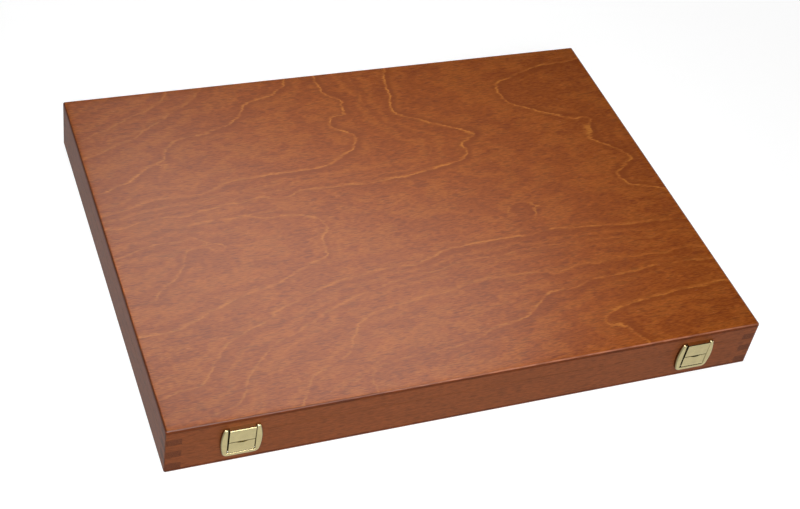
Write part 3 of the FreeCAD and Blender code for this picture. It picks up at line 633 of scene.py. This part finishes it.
def cut_foam(foam):
    """Dark foam with open cells about half a millimetre across, and a faint fuzz."""
    finish = Finish("charcoal foam")
    cells = finish.add("ShaderNodeTexVoronoi", {"Vector": finish.stretched(FOAM_CELLS), "Scale": 1.0})
    cloud = finish.noise(FOAM_CLOUDS, detail=3.0, shift=51)
    mixed = finish.weighted((cloud, 0.5), (cells.outputs["Distance"], 0.6))
    colour = finish.blend(finish.ease(mixed, 0.30, 0.75), foam.foam, shaded(foam.foam, 1.7))
    finish.shade({"Base Color": colour, "Roughness": 0.92, "Sheen Weight": 0.25})
    finish.bump(cells.outputs["Distance"], 0.00025, 0.7)
    return finish.material


def dress(nodes, material):
    """Give CAD nodes one material."""
    for name in nodes:
        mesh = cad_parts[name].data
        mesh.materials.clear()
        mesh.materials.append(material)


class BOX_OT_veneer_panels(bpy.types.Operator):
    """The lid and bottom panels: slabs with a rounded outer arris and the growth pattern in their points"""
    bl_idname = "pastelbox.veneer_panels"
    bl_label = "Veneer Panels"

    def execute(self, context):
        wood = context.scene.pastelbox_wood
        step = (wood.grid_step, wood.grid_step, MILLIMETRE)
        veneer = ring_veneer(wood)
        edge = ply_edge(wood)
        for name, low, high, at_top, body in (
                ("lid_panel", LID_LOW, LID_HIGH, True, "lid"),
                ("bottom_panel", BOTTOM_LOW, BOTTOM_HIGH, False, "base")):
            points, faces = rounded_slab(low, high, wood.arris_radius, not at_top, at_top, step)
            piece = put_mesh(name, points, faces)
            mirror = 1 if at_top else -1
            mark_rings(piece, points[:, X] * mirror / MILLIMETRE, points[:, Y] / MILLIMETRE)
            piece.data.materials.append(veneer)
            piece.data.materials.append(edge)
            piece.data.polygons.foreach_set("material_index", self.find_edge(points, faces))
            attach(piece, body)
            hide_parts("lid_top_panel" if at_top else "base_bottom_panel")
        return {"FINISHED"}

    @staticmethod
    def find_edge(points, faces):
        """One for each face of the cut edge, zero for each face of the veneer. The cross product of a
        face's diagonals is its normal n, and the face is edge where |n_z| < 0.6 |n|."""
        steepest_veneer = 0.60
        corner = [points[faces[:, number]] for number in range(4)]
        normal = np.cross(corner[2] - corner[0], corner[3] - corner[1])
        is_edge = np.abs(normal[:, Z]) < steepest_veneer * np.linalg.norm(normal, axis=1)
        return is_edge.astype(np.int32)


class BOX_OT_boards(bpy.types.Operator):
    """The finger-jointed boards: grain along each board, end grain on its fingers"""
    bl_idname = "pastelbox.boards"
    bl_label = "Stained Boards"

    def execute(self, context):
        wood = context.scene.pastelbox_wood
        long_board = board_wood(wood, "board along the front", X)
        short_board = board_wood(wood, "board along the side", Y)
        for part in ("base", "lid"):
            dress([part + "_front_board", part + "_back_board"], long_board)
            dress([part + "_left_board", part + "_right_board"], short_board)
        return {"FINISHED"}


class BOX_OT_metalwork(bpy.types.Operator):
    """The catches and the hinges: pale brass plating, with steel pins and springs in the catches"""
    bl_idname = "pastelbox.metalwork"
    bl_label = "Catches and Hinges"

    def execute(self, context):
        metal = context.scene.pastelbox_metal
        brass = plated_metal("pale brass plating", metal.brass, metal.brass_roughness)
        steel = plated_metal("spring steel", metal.steel, metal.brass_roughness)
        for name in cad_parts:
            if name.startswith("catch_") and name.endswith(("_pin", "_spring")):
                dress([name], steel)
            elif name.startswith(("catch_", "hinge_")):
                dress([name], brass)
        return {"FINISHED"}


class BOX_OT_slats(bpy.types.Operator):
    """The slats between the rows"""
    bl_idname = "pastelbox.slats"
    bl_label = "Slats"

    def execute(self, context):
        slats = [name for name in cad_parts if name.startswith("divider_")]
        dress(slats, slat_wood(context.scene.pastelbox_wood))
        return {"FINISHED"}


class BOX_OT_foam_inserts(bpy.types.Operator):
    """The foam inserts: a soft-edged block for each row, with a round trough across it for each stick"""
    bl_idname = "pastelbox.foam_inserts"
    bl_label = "Foam Inserts"

    def execute(self, context):
        foam = context.scene.pastelbox_foam
        material = cut_foam(foam)
        pitch = 2 * foam.stick_radius + foam.stick_gap
        groove_radius = foam.stick_radius + foam.stick_slack
        rows = sorted(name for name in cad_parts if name.startswith("foam_insert_"))
        for number, node in enumerate(rows):
            low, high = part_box(node)
            step = (pitch / foam.groove_samples, 6 * MILLIMETRE, 6 * MILLIMETRE)
            points, faces = rounded_slab(low, high, foam.edge_radius, False, True, step)
            self.cut_grooves(points, low, high, pitch, groove_radius, foam.groove_depth)
            piece = put_mesh("foam_row_%d" % (number + 1), points, faces)
            piece.data.materials.append(material)
            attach(piece, "base")
            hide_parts(node)
        return {"FINISHED"}

    @staticmethod
    def cut_grooves(points, low, high, pitch, radius, depth):
        """Each point sinks by how deep the groove's circle lies below the top, sqrt(r^2 - u^2) less its
        centre's height, with u the distance from the nearest groove. A soft maximum with zero,
        l log(1 + exp(s / l)), rounds the lips, and the sinking grows in proportion to the height above
        the underside."""
        lip = 0.15 * MILLIMETRE
        count = int((high[X] - low[X]) / pitch)
        first = (low[X] + high[X]) / 2 - (count - 1) * pitch / 2
        number = np.clip(np.round((points[:, X] - first) / pitch), 0, count - 1)
        away = points[:, X] - first - number * pitch
        sink = np.sqrt(np.maximum(radius ** 2 - away ** 2, 0)) - (radius - depth)
        sink = lip * np.logaddexp(0, sink / lip)
        points[:, Z] -= sink * (points[:, Z] - low[Z]) / (high[Z] - low[Z])


class BOX_OT_lid_pad(bpy.types.Operator):
    """The pad in the lid: a foam sheet with rounded edges and a gently waved underside"""
    bl_idname = "pastelbox.lid_pad"
    bl_label = "Lid Pad"

    def execute(self, context):
        foam = context.scene.pastelbox_foam
        low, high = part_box("lid_pad")
        radius = 2 * foam.edge_radius
        step = (5 * MILLIMETRE, 5 * MILLIMETRE, 3 * MILLIMETRE)
        points, faces = rounded_slab(low, high, radius, True, False, step)
        self.settle(points, low, high)
        piece = put_mesh("lid_foam_pad", points, faces)
        piece.data.materials.append(cut_foam(foam))
        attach(piece, "lid")
        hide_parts("lid_pad")
        return {"FINISHED"}

    @staticmethod
    def settle(points, low, high):
        """Each point rises, in proportion to its nearness to the underside, by a sum of two long waves,
        one across the other: h (2 + sin(a x + b) + sin(c y + d)) / 4, with h half a millimetre."""
        rise = 0.5 * MILLIMETRE
        wave_x = np.sin(points[:, X] * 41.0 + 0.6)
        wave_y = np.sin(points[:, Y] * 53.0 + 1.9)
        near = (high[Z] - points[:, Z]) / (high[Z] - low[Z])
        points[:, Z] += rise * (2 + wave_x + wave_y) / 4 * near


class BOX_OT_stage(bpy.types.Operator):
    """The stage: a white floor, a dim room, softboxes above, in front and behind, and the camera"""
    bl_idname = "pastelbox.stage"
    bl_label = "Stage"

    def execute(self, context):
        stage = context.scene.pastelbox_stage
        self.make_floor()
        self.make_room(context.scene, stage)
        for name, power, *form in SOFTBOXES:
            self.make_light(name, getattr(stage, power), *form)
        self.make_camera(context.scene, stage)
        context.scene.view_settings.view_transform = "Standard"
        return {"FINISHED"}

    @staticmethod
    def make_floor():
        """A round floor that sweeps up at its rim: radius s and height 0 up to the sweep, then the
        quarter circle s + h sin a, h (1 - cos a), turned about Z. The camera and reflections see it as
        white paper that still takes the shadow, greyer up its rim. It lies 0.2 mm below the box."""
        inner = [0.0, 0.5, 1.2, 2.0]
        flat = 2.8
        sweep = 1.3
        below = 0.2 * MILLIMETRE
        turn = np.linspace(0, math.pi / 2, 13)
        radius = np.concatenate([inner, flat + sweep * np.sin(turn)])
        height = np.concatenate([np.zeros(len(inner)), sweep * (1 - np.cos(turn))]) - below
        angle = np.linspace(0, 2 * math.pi, 65)[:-1]
        across = radius[:, None] * np.cos(angle)
        along_y = radius[:, None] * np.sin(angle)
        points = np.stack([across, along_y, np.broadcast_to(height[:, None], across.shape)], -1)
        index = np.arange(across.size).reshape(across.shape)
        following = np.roll(index, -1, axis=1)
        faces = np.stack([index[:-1], index[1:], following[1:], following[:-1]], -1).reshape(-1, 4)
        floor = put_mesh("floor", points.reshape(-1, 3), faces)
        finish = Finish("white paper")
        paper = finish.add("ShaderNodeBsdfDiffuse", {"Color": (0.45, 0.45, 0.45, 1)})
        shaded = finish.add("ShaderNodeBsdfDiffuse", {"Color": (0.25, 0.25, 0.25, 1)})
        distance = finish.add("ShaderNodeVectorMath", {0: finish.place.outputs["Object"]},
                              operation="LENGTH")
        strength = finish.product(finish.ease(distance.outputs["Value"], 0.50, 1.40, 0.85, 0.97),
                                  finish.ease(finish.part("Object", Z), 0.10, 0.65, 1.0, 0.22))
        glow = finish.add("ShaderNodeEmission", {"Color": (1, 1, 1, 1), "Strength": strength})
        seen = finish.add("ShaderNodeAddShader", {0: shaded.outputs[0], 1: glow.outputs[0]})
        path = finish.add("ShaderNodeLightPath", {})
        looked_at = finish.math("MAXIMUM", path.outputs["Is Camera Ray"], path.outputs["Is Glossy Ray"])
        looked_at = finish.math("MAXIMUM", looked_at, path.outputs["Is Transmission Ray"])
        mix = finish.add("ShaderNodeMixShader", {0: looked_at, 1: paper.outputs[0], 2: seen.outputs[0]})
        finish.feed(finish.tree.nodes["Material Output"].inputs["Surface"], mix.outputs[0])
        finish.tree.nodes.remove(finish.shader)
        floor.data.materials.append(finish.material)

    @staticmethod
    def make_room(scene, stage):
        """The room: an even, dim light from all sides."""
        world = bpy.data.worlds.new("room")
        world.use_nodes = True
        background = world.node_tree.nodes["Background"]
        background.inputs["Color"].default_value = (1, 1, 1, 1)
        background.inputs["Strength"].default_value = stage.room_light
        scene.world = world

    @staticmethod
    def make_light(name, power, place, size, turn, aim, spread):
        """A softbox that faces its aim, turned in its own plane."""
        light = bpy.data.lights.new(name, "AREA")
        light.shape = "RECTANGLE"
        light.size, light.size_y = size
        light.energy = power
        light.spread = math.radians(spread)
        lamp = bpy.data.objects.new(name, light)
        lamp.location = place
        facing = (Vector(aim) - Vector(place)).to_track_quat("-Z", "Y").to_matrix()
        lamp.rotation_euler = (facing @ Matrix.Rotation(turn, 3, "Z")).to_euler()
        bpy.context.scene.collection.objects.link(lamp)

    @staticmethod
    def make_camera(scene, stage):
        """The camera looks along its azimuth and down by its elevation, turned by its roll."""
        azimuth = stage.camera_azimuth
        elevation = stage.camera_elevation
        forward = Vector((math.sin(azimuth) * math.cos(elevation),
                          math.cos(azimuth) * math.cos(elevation),
                          -math.sin(elevation)))
        level = forward.cross(Vector((0, 0, 1))).normalized()
        upright = level.cross(forward)
        right = level * math.cos(stage.camera_roll) + upright * math.sin(stage.camera_roll)
        up = right.cross(forward)
        camera_data = bpy.data.cameras.new("camera")
        camera_data.sensor_width = SENSOR_WIDTH
        camera_data.lens = SENSOR_WIDTH * stage.focal_pixels / PICTURE_WIDTH
        camera_data.clip_start = 0.01
        camera = bpy.data.objects.new("camera", camera_data)
        turn = Matrix((right, up, -forward)).transposed().to_4x4()
        camera.matrix_world = Matrix.Translation(Vector(stage.camera_place)) @ turn
        scene.collection.objects.link(camera)
        scene.camera = camera


OPERATORS = (
    BOX_OT_veneer_panels,
    BOX_OT_boards,
    BOX_OT_metalwork,
    BOX_OT_slats,
    BOX_OT_foam_inserts,
    BOX_OT_lid_pad,
    BOX_OT_stage,
)


class BOX_PT_pieces(bpy.types.Panel):
    """Lists the operators that dress the box"""
    bl_idname = "BOX_PT_pieces"
    bl_label = "Pastel Storage Box"
    bl_space_type = "VIEW_3D"
    bl_region_type = "UI"
    bl_category = "Pastel Box"

    def draw(self, context):
        for operator in OPERATORS:
            self.layout.operator(operator.bl_idname)


SETTINGS = (
    ("pastelbox_wood", BoxWoodSettings),
    ("pastelbox_metal", BoxMetalSettings),
    ("pastelbox_foam", BoxFoamSettings),
    ("pastelbox_stage", BoxStageSettings),
)


def register():
    for name, group in SETTINGS:
        bpy.utils.register_class(group)
        setattr(bpy.types.Scene, name, PointerProperty(type=group))
    for operator in OPERATORS:
        bpy.utils.register_class(operator)
    bpy.utils.register_class(BOX_PT_pieces)


def unregister():
    bpy.utils.unregister_class(BOX_PT_pieces)
    for operator in reversed(OPERATORS):
        bpy.utils.unregister_class(operator)
    for name, group in reversed(SETTINGS):
        delattr(bpy.types.Scene, name)
        bpy.utils.unregister_class(group)


def main():
    """Register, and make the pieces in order."""
    register()
    bpy.ops.pastelbox.veneer_panels()
    bpy.ops.pastelbox.boards()
    bpy.ops.pastelbox.metalwork()
    bpy.ops.pastelbox.slats()
    bpy.ops.pastelbox.foam_inserts()
    bpy.ops.pastelbox.lid_pad()
    bpy.ops.pastelbox.stage()


if __name__ == "__main__":
    main()
